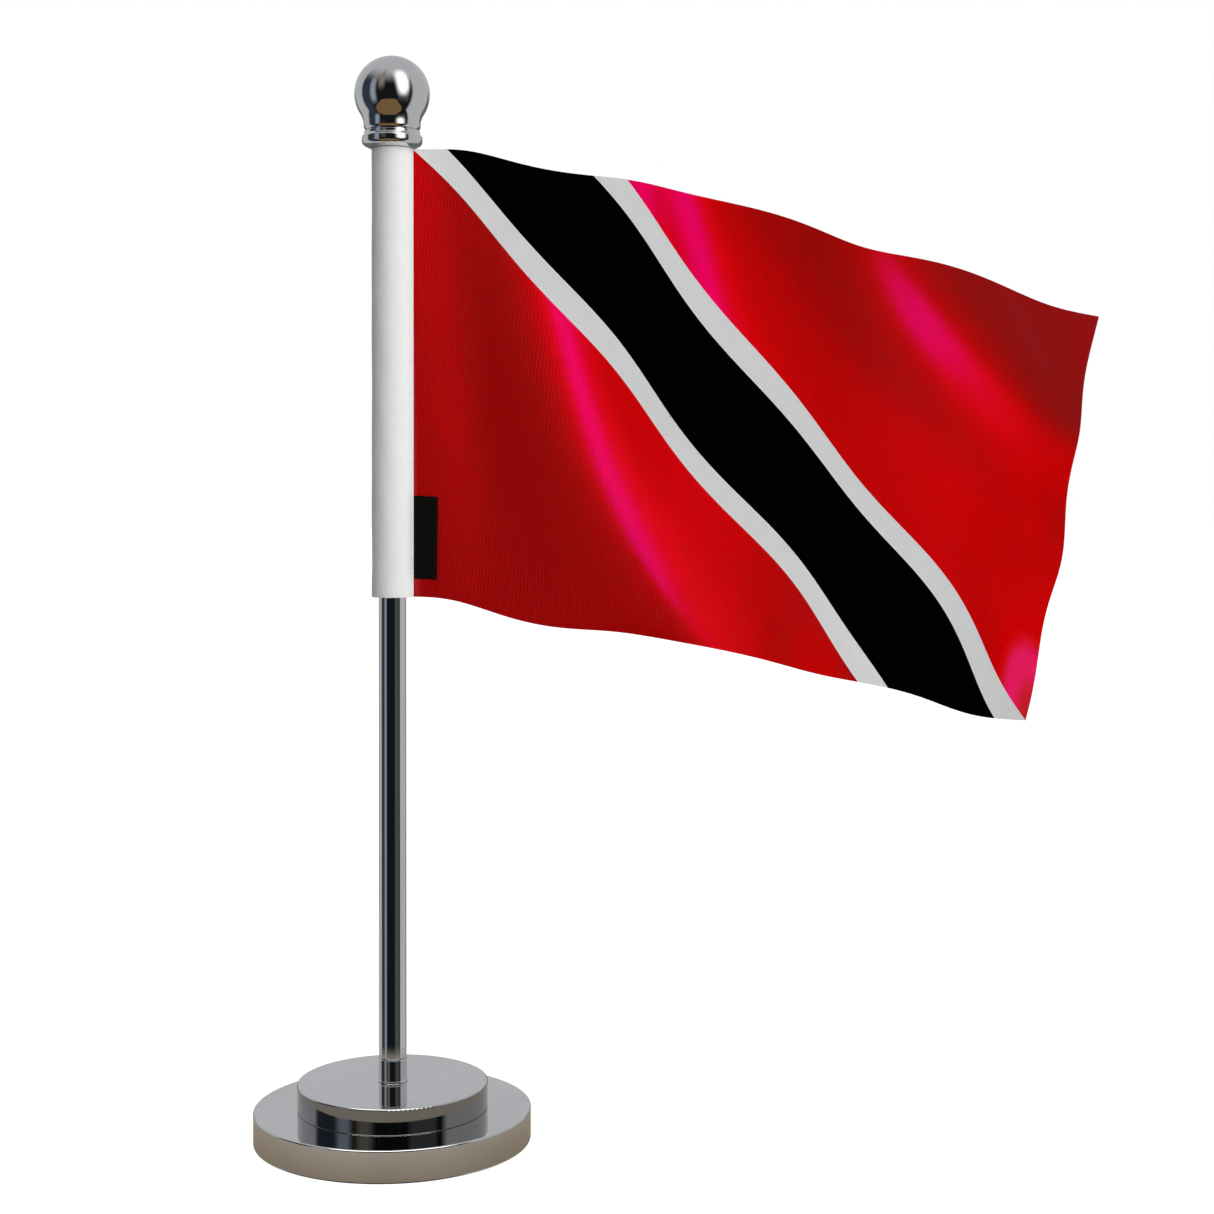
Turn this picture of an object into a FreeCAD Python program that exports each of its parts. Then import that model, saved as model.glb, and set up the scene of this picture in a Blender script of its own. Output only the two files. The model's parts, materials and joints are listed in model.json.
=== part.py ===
import FreeCAD, Part
import math
import os

from FreeCAD import Vector

os.makedirs("parts", exist_ok=True)

# A desk stand with a table flag, in millimetres. The origin is on the table under the pole,
# +Z is up, and the flag flies towards +X with its front towards -Y.

UP = Vector(0, 0, 1)
touch = 0.05               # radial room round a stud or bolt in its bore
running = 0.05             # room between pieces that turn against each other

# Base: two turned discs on a foam pad
disc_radius = 43.15
disc_height = 9.9
step_radius = 29.65
step_height = 8.0
disc_rounding = 0.5        # edge break of both discs
pad_radius = 39.5
pad_height = 1.5
pad_recess = 1.0           # how deep the pad sits in the disc
register_radius = 12.0     # spigot that centres the step on the disc
register_depth = 1.0

# Pole: collar and tube, clamped to the base by one M5 bolt
collar_radius = 4.45
collar_height = 7.3
tube_radius = 4.28
tube_wall = 0.83
tube_length = 283.3
foot_bush_height = 14.0
top_bush_height = 12.0

# M5 fasteners
thread_radius = 2.5
thread_pitch = 0.8
thread_depth = 0.42
bolt_head_radius = 4.75
bolt_head_height = 2.75
bolt_length = 30.0
hex_key = 3.0              # across flats
washer_radius = 7.5
washer_height = 1.0
spring_radius = 4.6
spring_height = 1.1
spring_slit = 0.6

# Finial: a ball on a ringed collar, with a stud that screws into the pole's top
ball_radius = 11.75
ball_centre = 17.0         # above the finial's underside
neck_radius = 8.9
neck_fillet = 6.0
notch_radius = 8.25
notch_height = 5.65        # where the ball's neck stands on the collar
bulge_radius = 9.45
nylon_radius = 6.0
nylon_height = 0.5
stud_reach = 10.0          # below the finial's underside
stud_grip = 11.0           # above it

# Flag: a sewn cloth sleeve over the pole, and the cloth panel
sleeve_radius = 6.4
sleeve_wall = 0.5
hoist = 139.6              # height of the flag at the pole
fly = 214.1                # length of the cloth away from the pole
seam_start = 6.4           # the cloth's edge, between the sleeve's two layers
seam_end = 6.7             # where those layers end
seam_half = 0.75
cloth = 0.4                # thickness of the cloth panel
tab_width = 6.9            # sewn label
tab_height = 26.0
tab_drop = 108.0           # from the flag's top to the label's top
tab_thickness = 0.35
tab_lift = 0.06            # from the cloth's face to the label's back
thread_thickness = 0.3

# The cloth's shape: slow bends that grow from the pole, and waves that run across it. A wave has
# its turns along and down the cloth, and its size at the pole and growth towards the free edge.
slow_x = (27.6, 0, -29.4, -21.0, 0, 18.9)
slow_y = (-23.6, 90.0, -90.0, 16.4, -50.2, 31.7)
slow_z = (-21.0, -35.8, -9.4, 23.4, 6.8, 0)
still_share = 0.15         # share of the length over which the pole holds the cloth still
waves = [
    {"along": 3.46, "down": 0.25, "curl": 0.36, "start": 2.88,
     "sway": (1.3, 0, -0.8), "rise": (-2.0, 3.6, 0.7), "depth": (-0.72, 1.76)},
    {"along": 2.33, "down": 0.73, "curl": -0.26, "start": 1.18,
     "sway": (0, -1.3, 0.6), "rise": (1.5, -1.1, 0), "depth": (0.52, -5.43)},
    {"along": 2.55, "down": 0.77, "curl": 0.23, "start": -0.5,
     "sway": (1.3, -2.9, -2.78), "rise": (1.3, -2.1, -1.08), "depth": (-3.12, 8.55)},
    {"along": 0.5, "down": -0.26, "curl": 0.47, "start": -1.68,
     "sway": (0, 3.7, -1.98), "rise": (0, -1.7, 0.72), "depth": (0.8, -2.04)},
    {"along": 3.65, "down": 2.63, "curl": 0, "start": -0.4,
     "sway": (-0.1, 0, -2.48), "rise": (-0.7, 1.6, -1.88), "depth": (-0.15, 0.61)},
]

# Heights that follow
disc_bottom = pad_height - pad_recess
disc_top = disc_bottom + disc_height
step_top = disc_top + step_height
collar_top = step_top + collar_height
tube_top = collar_top + tube_length
sleeve_top = tube_top + sleeve_wall
finial_bottom = sleeve_top + 2 * running
nylon_top = sleeve_top + running + nylon_height
flag_top = sleeve_top - 0.1
flag_bottom = flag_top - hoist
tube_bore = tube_radius - tube_wall
bolt_hole = thread_radius + 2 * touch
head_bottom = pad_height + 0.5
head_top = head_bottom + bolt_head_height
washer_bottom = head_top + spring_height
washer_seat = washer_bottom + washer_height


def outline(corners):
    """Closed wire in the XZ plane. A corner is (radius, height) or (radius, height, rounding)."""
    points = [Vector(corner[0], 0, corner[1]) for corner in corners]
    ends = []
    for i, corner in enumerate(corners):
        here = points[i]
        if len(corner) == 2:
            ends.append((here, None, here))
            continue
        back = (points[i - 1] - here).normalize()
        ahead = (points[(i + 1) % len(points)] - here).normalize()
        half = back.getAngle(ahead) / 2
        reach = corner[2] / math.tan(half)
        inward = (back + ahead).normalize() * (corner[2] / math.sin(half) - corner[2])
        ends.append((here + back * reach, here + inward, here + ahead * reach))
    edges = []
    for i, (first, middle, last) in enumerate(ends):
        if middle:
            edges.append(Part.Arc(first, middle, last).toShape())
        following = ends[(i + 1) % len(ends)][0]
        if last.distanceToPoint(following) > 1e-6:
            edges.append(Part.LineSegment(last, following).toShape())
    return Part.Wire(edges)


def turned(corners):
    return Part.Face(outline(corners)).revolve(Vector(), UP, 360)


def ring(inner, outer, bottom, top, rounding=0.1):
    return turned([(inner, bottom), (outer, bottom, rounding), (outer, top, rounding), (inner, top)])


def thread_corners(bottom, top):
    """The ridges of a thread as rings, from bottom to top."""
    corners = []
    for i in range(int((top - bottom) / thread_pitch)):
        z = bottom + i * thread_pitch
        corners += [
            (thread_radius - thread_depth, z),
            (thread_radius - touch, z + 0.3 * thread_pitch),
            (thread_radius - touch, z + 0.5 * thread_pitch),
            (thread_radius - thread_depth, z + 0.8 * thread_pitch),
        ]
    return corners


def foot_pad():
    return turned([(0, 0), (pad_radius, 0, 0.3), (pad_radius, pad_height), (0, pad_height)])


def base_disc():
    register_floor = disc_top - register_depth - touch
    return turned([
        (bolt_hole, washer_seat),
        (washer_radius + 1, washer_seat),
        (washer_radius + 1, pad_height),
        (pad_radius + 0.5, pad_height),
        (pad_radius + 0.5, disc_bottom),
        (disc_radius, disc_bottom, disc_rounding),
        (disc_radius, disc_top, disc_rounding),
        (register_radius + touch, disc_top),
        (register_radius + touch, register_floor),
        (bolt_hole, register_floor),
    ])


def step_disc():
    return turned([
        (bolt_hole, disc_top - register_depth),
        (register_radius, disc_top - register_depth),
        (register_radius, disc_top),
        (step_radius, disc_top, 0.3),
        (step_radius, step_top, disc_rounding),
        (bolt_hole, step_top),
    ])


def hex_socket(bottom, depth):
    corner = Vector(hex_key / math.sqrt(3), 0, bottom)
    turn = FreeCAD.Rotation(UP, 60)
    corners = [corner]
    for i in range(6):
        corners.append(turn.multVec(corners[-1]))
    return Part.Face(Part.makePolygon(corners)).extrude(UP * depth)


def base_bolt():
    shank = thread_radius - touch
    bolt_end = head_top + bolt_length
    thread_start = collar_top + 1
    threads = thread_corners(thread_start, bolt_end - 1)
    body = turned(
        [(0, head_bottom), (3.2, head_bottom, 0.6), (bolt_head_radius, head_bottom + 1.6, 1.0)]
        + [(bolt_head_radius, head_top), (shank, head_top), (shank, thread_start)]
        + threads
        + [(shank - 0.5, bolt_end), (0, bolt_end)]
    )
    return body.cut(hex_socket(head_bottom, 1.6))


def base_spring_washer():
    whole = ring(bolt_hole, spring_radius, head_top, washer_bottom)
    corner = Vector(0, -spring_slit / 2, head_top - 1)
    slit = Part.makeBox(spring_radius + 1, spring_slit, spring_height + 2, corner)
    return whole.cut(slit)


def base_flat_washer():
    return ring(bolt_hole, washer_radius, washer_bottom, washer_seat)


def pole_collar():
    return turned([
        (bolt_hole, step_top),
        (collar_radius + 0.15, step_top, 0.2),
        (collar_radius + 0.15, step_top + 0.6, 0.25),
        (collar_radius, step_top + 0.75, 0.1),
        (collar_radius, collar_top, 0.3),
        (bolt_hole, collar_top),
    ])


def pole_tube():
    return turned([
        (tube_bore, collar_top),
        (tube_radius, collar_top, 0.45),
        (tube_radius, tube_top, 0.2),
        (tube_bore, tube_top),
    ])


def bush(bottom, top):
    return turned([
        (thread_radius, bottom), (tube_bore, bottom, 0.2), (tube_bore, top, 0.2), (thread_radius, top),
    ])


def finial_washer():
    return ring(thread_radius + touch, nylon_radius, sleeve_top + running, nylon_top)


def finial_collar():
    recess = nylon_radius + 0.4
    return turned([
        (thread_radius, nylon_top + running),
        (recess, nylon_top + running),
        (recess, finial_bottom),
        (7.0, finial_bottom),
        (bulge_radius, finial_bottom + 1.14, 1.7),
        (bulge_radius, finial_bottom + 3.55, 0.7),
        (8.72, finial_bottom + 4.4, 0.3),
        (8.68, finial_bottom + 5.2, 0.25),
        (notch_radius, finial_bottom + notch_height),
        (thread_radius, finial_bottom + notch_height),
    ])


def finial_ball():
    """The ball runs into its neck by a hollow fillet, and the neck ends in a small bead."""
    centre = Vector(0, 0, finial_bottom + ball_centre)
    reach = ball_radius + neck_fillet
    fillet_drop = math.sqrt(reach ** 2 - (neck_radius + neck_fillet) ** 2)
    fillet_centre = centre + Vector(neck_radius + neck_fillet, 0, -fillet_drop)
    inward = (fillet_centre - centre).normalize()
    meet = centre + inward * ball_radius
    neck = fillet_centre - Vector(neck_fillet, 0, 0)
    hollow = ((meet - fillet_centre).normalize() + Vector(-1, 0, 0)).normalize()
    crown = centre + UP * ball_radius
    side = centre + (inward + UP).normalize() * ball_radius
    foot = finial_bottom + notch_height
    bead = Vector(neck_radius - 0.05, 0, foot + 0.9)
    bore_top = finial_bottom + stud_grip + 0.3
    edges = [
        Part.Arc(crown, side, meet).toShape(),
        Part.Arc(meet, fillet_centre + hollow * neck_fillet, neck).toShape(),
        Part.makeLine(neck, bead),
        Part.Arc(bead, Vector(8.6, 0, foot + 0.4), Vector(notch_radius, 0, foot)).toShape(),
        Part.makePolygon([
            Vector(notch_radius, 0, foot), Vector(thread_radius, 0, foot), Vector(thread_radius, 0, bore_top),
            Vector(0, 0, bore_top), crown,
        ]),
    ]
    return Part.Face(Part.Wire(edges)).revolve(Vector(), UP, 360)


def finial_stud():
    core = thread_radius - thread_depth
    bottom = finial_bottom - stud_reach
    top = finial_bottom + stud_grip
    threads = thread_corners(bottom + 0.5, top - 0.5)
    return turned([(0, bottom), (core - 0.3, bottom)] + threads + [(core - 0.3, top), (0, top)])


def flag_sleeve():
    """A cloth tube whose two layers run on as a seam round the flag's edge."""
    tube = turned([
        (sleeve_radius - sleeve_wall, flag_bottom),
        (sleeve_radius, flag_bottom, 0.15),
        (sleeve_radius, sleeve_top, 0.15),
        (sleeve_radius - sleeve_wall, sleeve_top),
    ])
    inner = sleeve_radius - sleeve_wall / 2
    seam = Part.makeBox(seam_end - inner, 2 * seam_half, hoist, Vector(inner, -seam_half, flag_bottom))
    slot_half = seam_half / 2
    slot = Part.makeBox(1, 2 * slot_half, hoist + 1, Vector(seam_start - 0.05, -slot_half, flag_bottom - 0.5))
    return tube.fuse(seam).cut(slot).removeSplitter()


def sleeve_cap():
    inner = sleeve_radius - sleeve_wall
    return ring(thread_radius + 0.3, inner, tube_top, sleeve_top)


def bend(slow, u, v):
    """A slow bend that grows from the pole: its terms are 1, u, v, uv, uu and vv."""
    terms = (1, u, v, u * v, u * u, v * v)
    return u * sum(size * term for size, term in zip(slow, terms))


def cloth_point(u, v, front=0.0):
    """Middle of the cloth, u from the pole to the free edge and v from the top edge down."""
    x = seam_start + fly * 0.9 * u + bend(slow_x, u, v)
    y = bend(slow_y, u, v)
    z = flag_top - hoist * v + bend(slow_z, u, v)
    free = math.tanh(u / still_share)
    for wave in waves:
        angle = 2 * math.pi * (wave["along"] * u - wave["down"] * v + wave["curl"] * v * v) + wave["start"]
        x += free * (wave["sway"][0] + wave["sway"][1] * u) * math.sin(angle + wave["sway"][2])
        z += free * (wave["rise"][0] + wave["rise"][1] * u) * math.sin(angle + wave["rise"][2])
        y += free * (wave["depth"][0] + wave["depth"][1] * u) * math.sin(angle)
    return Vector(x, y - front, z)


def cloth_patch(u_range, v_range, counts, front, thickness):
    """A patch that follows the cloth, from `front` towards the front by its thickness."""
    grid = [
        [
            cloth_point(
                u_range[0] + (u_range[1] - u_range[0]) * i / counts[0],
                v_range[0] + (v_range[1] - v_range[0]) * j / counts[1],
                front,
            )
            for j in range(counts[1] + 1)
        ]
        for i in range(counts[0] + 1)
    ]
    surface = Part.BSplineSurface()
    surface.interpolate(grid)
    return surface.toShape().extrude(Vector(0, -thickness, 0))


def flag_panel():
    return cloth_patch((0, 1), (0, 1), (36, 18), -cloth / 2, cloth)


def hoist_stitching():
    """One line of stitches through the seam, seen on its front and on its back."""
    middle = (seam_start + seam_end) / 2
    size = Vector(0.2, thread_thickness / 2, hoist - 2)
    threads = [
        Part.makeBox(size.x, size.y, size.z, Vector(middle - size.x / 2, y, flag_bottom + 1))
        for y in (-seam_half - size.y, seam_half)
    ]
    return Part.Compound(threads)


def tab_span():
    """The share of the cloth's length and height that the label covers."""
    start = (seam_end - seam_start + 0.05) / (0.9 * fly)
    return (start, start + tab_width / (0.9 * fly)), (tab_drop / hoist, (tab_drop + tab_height) / hoist)


def sewn_label():
    along, down = tab_span()
    return cloth_patch(along, down, (4, 6), cloth / 2 + tab_lift, tab_thickness)


def label_stitching():
    """A line of stitches along each long side of the label."""
    along, down = tab_span()
    width = 0.25 / (0.9 * fly)
    inset = 0.5 / (0.9 * fly)
    margin = 0.8 / hoist
    front = cloth / 2 + tab_lift + tab_thickness
    return Part.Compound([
        cloth_patch((u, u + width), (down[0] + margin, down[1] - margin), (3, 6), front, thread_thickness / 2)
        for u in (along[0] + inset, along[1] - inset - width)
    ])


parts = {
    "foot_pad": foot_pad(),
    "base_disc": base_disc(),
    "step_disc": step_disc(),
    "base_bolt": base_bolt(),
    "base_spring_washer": base_spring_washer(),
    "base_flat_washer": base_flat_washer(),
    "pole_collar": pole_collar(),
    "pole_foot_bush": bush(collar_top, collar_top + foot_bush_height),
    "pole_tube": pole_tube(),
    "pole_top_bush": bush(tube_top - top_bush_height, tube_top - 0.2),
    "finial_washer": finial_washer(),
    "finial_collar": finial_collar(),
    "finial_ball": finial_ball(),
    "finial_stud": finial_stud(),
    "flag_sleeve": flag_sleeve(),
    "sleeve_cap": sleeve_cap(),
    "flag_panel": flag_panel(),
    "hoist_stitching": hoist_stitching(),
    "sewn_label": sewn_label(),
    "label_stitching": label_stitching(),
}

for name, shape in parts.items():
    shape.exportStep(f"parts/{name}.step")
    print(name, "valid" if shape.isValid() else "INVALID", round(shape.Volume, 1), "mm3")
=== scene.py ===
import json
import math

import bmesh
import bpy
import numpy as np
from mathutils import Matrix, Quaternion, Vector

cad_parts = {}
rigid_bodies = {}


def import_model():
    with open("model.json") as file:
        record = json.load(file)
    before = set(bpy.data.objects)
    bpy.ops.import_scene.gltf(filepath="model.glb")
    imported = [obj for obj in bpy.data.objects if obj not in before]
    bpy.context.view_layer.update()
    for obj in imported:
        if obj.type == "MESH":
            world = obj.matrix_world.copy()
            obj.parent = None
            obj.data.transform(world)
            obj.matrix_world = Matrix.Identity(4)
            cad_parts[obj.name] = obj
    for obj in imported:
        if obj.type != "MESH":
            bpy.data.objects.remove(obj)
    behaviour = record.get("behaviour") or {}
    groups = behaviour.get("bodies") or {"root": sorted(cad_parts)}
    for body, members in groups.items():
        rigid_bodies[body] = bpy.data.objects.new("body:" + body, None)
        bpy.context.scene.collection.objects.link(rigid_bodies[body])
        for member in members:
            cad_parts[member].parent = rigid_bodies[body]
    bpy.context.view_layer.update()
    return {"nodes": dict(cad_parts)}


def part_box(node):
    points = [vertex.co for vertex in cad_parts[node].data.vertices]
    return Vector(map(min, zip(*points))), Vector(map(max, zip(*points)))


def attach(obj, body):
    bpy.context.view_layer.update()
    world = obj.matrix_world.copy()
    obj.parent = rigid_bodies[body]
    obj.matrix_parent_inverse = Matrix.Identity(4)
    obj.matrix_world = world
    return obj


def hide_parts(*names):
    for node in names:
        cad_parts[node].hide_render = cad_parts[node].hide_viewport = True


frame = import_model()
nodes = frame["nodes"]
scene = bpy.context.scene
mm = 0.001
print("frame loaded:", len(nodes), "CAD nodes")


def place(tree, kind, inputs=None, **settings):
    # a new node; each input gets a value, or a link from the given socket
    node = tree.nodes.new(kind)
    for name, value in settings.items():
        setattr(node, name, value)
    for name, value in (inputs or {}).items():
        socket = node.inputs[name]
        if isinstance(value, bpy.types.NodeSocket):
            tree.links.new(value, socket)
        else:
            socket.default_value = value
    return node


def calc(tree, operation, first, second=0.0):
    return place(tree, "ShaderNodeMath", {0: first, 1: second}, operation=operation).outputs[0]


def mixColour(tree, share, first, second, blend="MIX"):
    # sockets 6 and 7 are the two colours, and output 2 is the mixed one
    node = place(
        tree, "ShaderNodeMix", {0: share, 6: first, 7: second},
        data_type="RGBA", blend_type=blend,
    )
    return node.outputs[2]


def ramp(tree, value, low, high, fromLow=0.0, fromHigh=1.0, smooth=False):
    node = place(
        tree, "ShaderNodeMapRange",
        {"Value": value, "From Min": fromLow, "From Max": fromHigh, "To Min": low, "To Max": high},
    )
    if smooth:
        node.interpolation_type = "SMOOTHSTEP"
    return node.outputs["Result"]


def noise(tree, vector, scale, detail=3.0, roughness=0.55, distortion=0.0):
    node = place(
        tree, "ShaderNodeTexNoise",
        {"Vector": vector, "Scale": scale, "Detail": detail, "Roughness": roughness,
         "Distortion": distortion},
    )
    return node.outputs["Fac"]


def newMaterial(name, viewColour):
    material = bpy.data.materials.new(name)
    material.use_nodes = True
    material.diffuse_color = (*viewColour, 1)
    tree = material.node_tree
    shader = tree.nodes["Principled BSDF"]
    return material, tree, shader


def linkTo(tree, socket, shader, name):
    tree.links.new(socket, shader.inputs[name])


def bump(tree, height, shader, strength, distance):
    node = place(
        tree, "ShaderNodeBump", {"Height": height, "Strength": strength, "Distance": distance}
    )
    linkTo(tree, node.outputs["Normal"], shader, "Normal")


def meshObject(name, mesh):
    piece = bpy.data.objects.new(name, mesh)
    scene.collection.objects.link(piece)
    for polygon in mesh.polygons:
        polygon.use_smooth = True
    return piece


def paint(piece, *materials):
    for material in materials:
        piece.data.materials.append(material)


def thicken(piece, thickness):
    # the mesh stays in the middle of the cloth
    wall = piece.modifiers.new("thickness", "SOLIDIFY")
    wall.thickness = thickness
    wall.offset = 0


edgeRounding = {
    "segments": 2,
    "angle": 50,                  # in degrees; only edges sharper than this are rounded
}


def roundEdges(piece, width, hardenNormals=False):
    rounding = piece.modifiers.new("softEdge", "BEVEL")
    rounding.width = width
    rounding.segments = edgeRounding["segments"]
    rounding.limit_method = "ANGLE"
    rounding.angle_limit = math.radians(edgeRounding["angle"])
    rounding.harden_normals = hardenNormals


# the flag's cloth has the same slow bends and waves as the CAD panel
sleeveLow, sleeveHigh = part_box("flag_sleeve")
flag = {
    "start": 6.4 * mm,            # cloth's edge inside the seam
    "top": sleeveHigh.z - 0.1 * mm,
    "hoist": sleeveHigh.z - sleeveLow.z - 0.1 * mm,
    "fly": 214.1 * mm,
    "thickness": 0.28 * mm,
    "columns": 230,
    "rows": 150,
    "edgeWidth": 0.07 * mm,       # how far its cut edges are rounded
    "bandWidth": 0.299,           # whole diagonal band, as a share of the fly
    "whiteShare": 1 / 6,          # each white edge, as a share of the band
    "reach": 0.9,                 # share of the fly that the cloth spans before the slow bends
    # slow bends in mm, for the terms 1, u, v, uv, uu and vv, each of them times u
    "slowX": (27.6, 0, -29.4, -21.0, 0, 18.9),
    "slowY": (-23.6, 90.0, -90.0, 16.4, -50.2, 31.7),
    "slowZ": (-21.0, -35.8, -9.4, 23.4, 6.8, 0),
    "stillShare": 0.15,           # the waves grow from nothing over about this share of the fly
    "rippleSize": 0.55 * mm,      # small ripples of the free edge
    "rippleCount": 3.2,
    "rippleStart": 0.155,         # where down the hoist a ripple draws the edge in the most
    "rippleShare": 0.16,          # the last share of the fly, where the ripples are
    # each wave's turns along the fly and down the hoist, its curl and its starting angle, then
    # its sizes in mm at the pole and added along u; sway and rise end with their own lag
    "waves": [
        {"along": 3.46, "down": 0.25, "curl": 0.36, "start": 2.88,
         "sway": (1.3, 0, -0.8), "rise": (-2.0, 3.6, 0.7), "depth": (-0.72, 1.76)},
        {"along": 2.33, "down": 0.73, "curl": -0.26, "start": 1.18,
         "sway": (0, -1.3, 0.6), "rise": (1.5, -1.1, 0), "depth": (0.52, -5.43)},
        {"along": 2.55, "down": 0.77, "curl": 0.23, "start": -0.5,
         "sway": (1.3, -2.9, -2.78), "rise": (1.3, -2.1, -1.08), "depth": (-3.12, 8.55)},
        {"along": 0.5, "down": -0.26, "curl": 0.47, "start": -1.68,
         "sway": (0, 3.7, -1.98), "rise": (0, -1.7, 0.72), "depth": (0.8, -2.04)},
        {"along": 3.65, "down": 2.63, "curl": 0, "start": -0.4,
         "sway": (-0.1, 0, -2.48), "rise": (-0.7, 1.6, -1.88), "depth": (-0.15, 0.61)},
    ],
}


def slowBend(sizes, u, v):
    terms = (1, u, v, u * v, u * u, v * v)
    return u * sum(size * term for size, term in zip(sizes, terms)) * mm


def clothPoint(u, v):
    # u runs from the pole to the free edge, v from the top edge down
    x = flag["start"] + flag["fly"] * flag["reach"] * u + slowBend(flag["slowX"], u, v)
    y = slowBend(flag["slowY"], u, v)
    z = flag["top"] - flag["hoist"] * v + slowBend(flag["slowZ"], u, v)
    free = np.tanh(u / flag["stillShare"]) * mm
    for wave in flag["waves"]:
        turns = wave["along"] * u - wave["down"] * v + wave["curl"] * v * v
        angle = 2 * np.pi * turns + wave["start"]
        x = x + free * (wave["sway"][0] + wave["sway"][1] * u) * np.sin(angle + wave["sway"][2])
        z = z + free * (wave["rise"][0] + wave["rise"][1] * u) * np.sin(angle + wave["rise"][2])
        y = y + free * (wave["depth"][0] + wave["depth"][1] * u) * np.sin(angle)
    share = flag["rippleShare"]
    nearEdge = np.clip((u - (1 - share)) / share, 0, 1) ** 2
    ripple = np.cos(2 * np.pi * flag["rippleCount"] * (v - flag["rippleStart"]))
    x = x - flag["rippleSize"] * nearEdge * ripple
    return x, y, z


def clothNormal(u, v):
    # unit normal that points to the front, -Y
    step = 1e-4
    along = Vector(np.subtract(clothPoint(u + step, v), clothPoint(u - step, v)))
    down = Vector(np.subtract(clothPoint(u, v + step), clothPoint(u, v - step)))
    normal = along.cross(down).normalized()
    return normal if normal.y < 0 else -normal


def makeFlag():
    # flat cloth first, cut along the band's four edges, then bent
    mesh = bpy.data.meshes.new("flagCloth")
    work = bmesh.new()
    bmesh.ops.create_grid(work, x_segments=flag["columns"], y_segments=flag["rows"], size=0.5)
    bmesh.ops.translate(work, verts=work.verts, vec=(0.5, 0.5, 0))
    width = flag["bandWidth"]
    edges = [0, width * flag["whiteShare"], width * (1 - flag["whiteShare"]), width]
    # across the band, t = u - v (1 - width), with v counted down from the top
    slant = Vector((1, 1 - width, 0))
    snap = 1e-7                   # a cut this close to a corner goes through it
    for edge in edges:
        everything = work.verts[:] + work.edges[:] + work.faces[:]
        bmesh.ops.bisect_plane(
            work, geom=everything, plane_co=Vector((edge, 1, 0)), plane_no=slant, dist=snap
        )
    stripes = (0, 1, 2, 1, 0)     # red, white, black, white, red
    layer = work.loops.layers.uv.new("cloth")
    for face in work.faces:
        centre = face.calc_center_median()
        across = centre.x - (1 - centre.y) * (1 - width)
        band = sum(across > edge for edge in edges)
        face.material_index = stripes[band]
        for loop in face.loops:
            loop[layer].uv = loop.vert.co.x, loop.vert.co.y
    work.verts.ensure_lookup_table()
    flat = np.array([vert.co for vert in work.verts])
    bent = np.transpose(clothPoint(flat[:, 0], 1 - flat[:, 1]))
    for vert, point in zip(work.verts, bent):
        vert.co = point
    bmesh.ops.recalc_face_normals(work, faces=work.faces)
    if sum(face.normal.y for face in work.faces) > 0:
        bmesh.ops.reverse_faces(work, faces=work.faces)
    work.to_mesh(mesh)
    work.free()
    piece = meshObject("flagCloth", mesh)
    thicken(piece, flag["thickness"])
    roundEdges(piece, flag["edgeWidth"], hardenNormals=True)
    # the metal shows the studio, not the flag
    piece.visible_glossy = False
    piece.visible_diffuse = False
    return piece


flagPiece = makeFlag()
print("flag cloth made:", len(flagPiece.data.polygons), "faces")


# one strip of cloth round the pole, its two ends sewn round the flag's edge
sleeve = {
    "radius": 6.12 * mm,          # middle of the cloth
    "thickness": 0.5 * mm,
    "edgeWidth": 0.12 * mm,       # how far its cut edges are rounded
    "seamEnd": 6.62 * mm,         # how far from the pole's middle the seam reaches
    "seamHalf": 0.5 * mm,         # half the distance between the middles of its two ends
    "turns": 96,
    "rows": 110,
    "hem": 7.0 * mm,              # the turned-up lower edge
    "hemLift": 0.10 * mm,
    "hemStep": 30,                # how sharply the cloth steps at the hem
    "slack": 0.07 * mm,           # how far the cloth stands off in soft ripples
    "ripples": ((3, 9), (2, 23)),  # how fast two ripples change round the pole and up it
}


def sleeveRing(height):
    # the strip's outline from the seam's back end round the pole to its front end
    share = (height - sleeveLow.z) / (sleeveHigh.z - sleeveLow.z)
    pinch = math.asin(sleeve["seamHalf"] / sleeve["radius"])
    points = [(sleeve["seamEnd"], sleeve["seamHalf"])]
    for i in range(sleeve["turns"] + 1):
        angle = pinch + (2 * math.pi - 2 * pinch) * i / sleeve["turns"]
        ripple = 1
        for around, up in sleeve["ripples"]:
            ripple *= math.sin(around * angle + up * share)
        radius = sleeve["radius"] + sleeve["slack"] * ripple * math.sin(angle / 2) ** 2
        hemShare = (height - sleeveLow.z) / sleeve["hem"]
        radius += sleeve["hemLift"] * (1 - 1 / (1 + math.exp(-sleeve["hemStep"] * (hemShare - 1))))
        points.append((radius * math.cos(angle), radius * math.sin(angle)))
    points.append((sleeve["seamEnd"], -sleeve["seamHalf"]))
    return points


def makeSleeve():
    rows = []
    layerHeights = []
    for j in range(sleeve["rows"] + 1):
        height = sleeveLow.z + (sleeveHigh.z - sleeveLow.z) * j / sleeve["rows"]
        layerHeights.append(height)
        rows.append([(x, y, height) for x, y in sleeveRing(height)])
    count = len(rows[0])
    vertices = [point for row in rows for point in row]
    faces = []
    for j in range(len(rows) - 1):
        for i in range(count - 1):
            first = j * count + i
            faces.append((first, first + 1, first + 1 + count, first + count))
    mesh = bpy.data.meshes.new("sleeveCloth")
    mesh.from_pydata(vertices, [], faces)
    layer = mesh.uv_layers.new(name="cloth")
    roundPole = 2 * math.pi * sleeve["radius"]
    for loop in mesh.loops:
        j, i = divmod(loop.vertex_index, count)
        up = layerHeights[j] - sleeveLow.z
        layer.data[loop.index].uv = (i / (count - 1) * roundPole / mm, up / mm)
    piece = meshObject("sleeveCloth", mesh)
    thicken(piece, sleeve["thickness"])
    roundEdges(piece, sleeve["edgeWidth"])
    return piece


sleevePiece = makeSleeve()
print("sleeve made")


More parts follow.
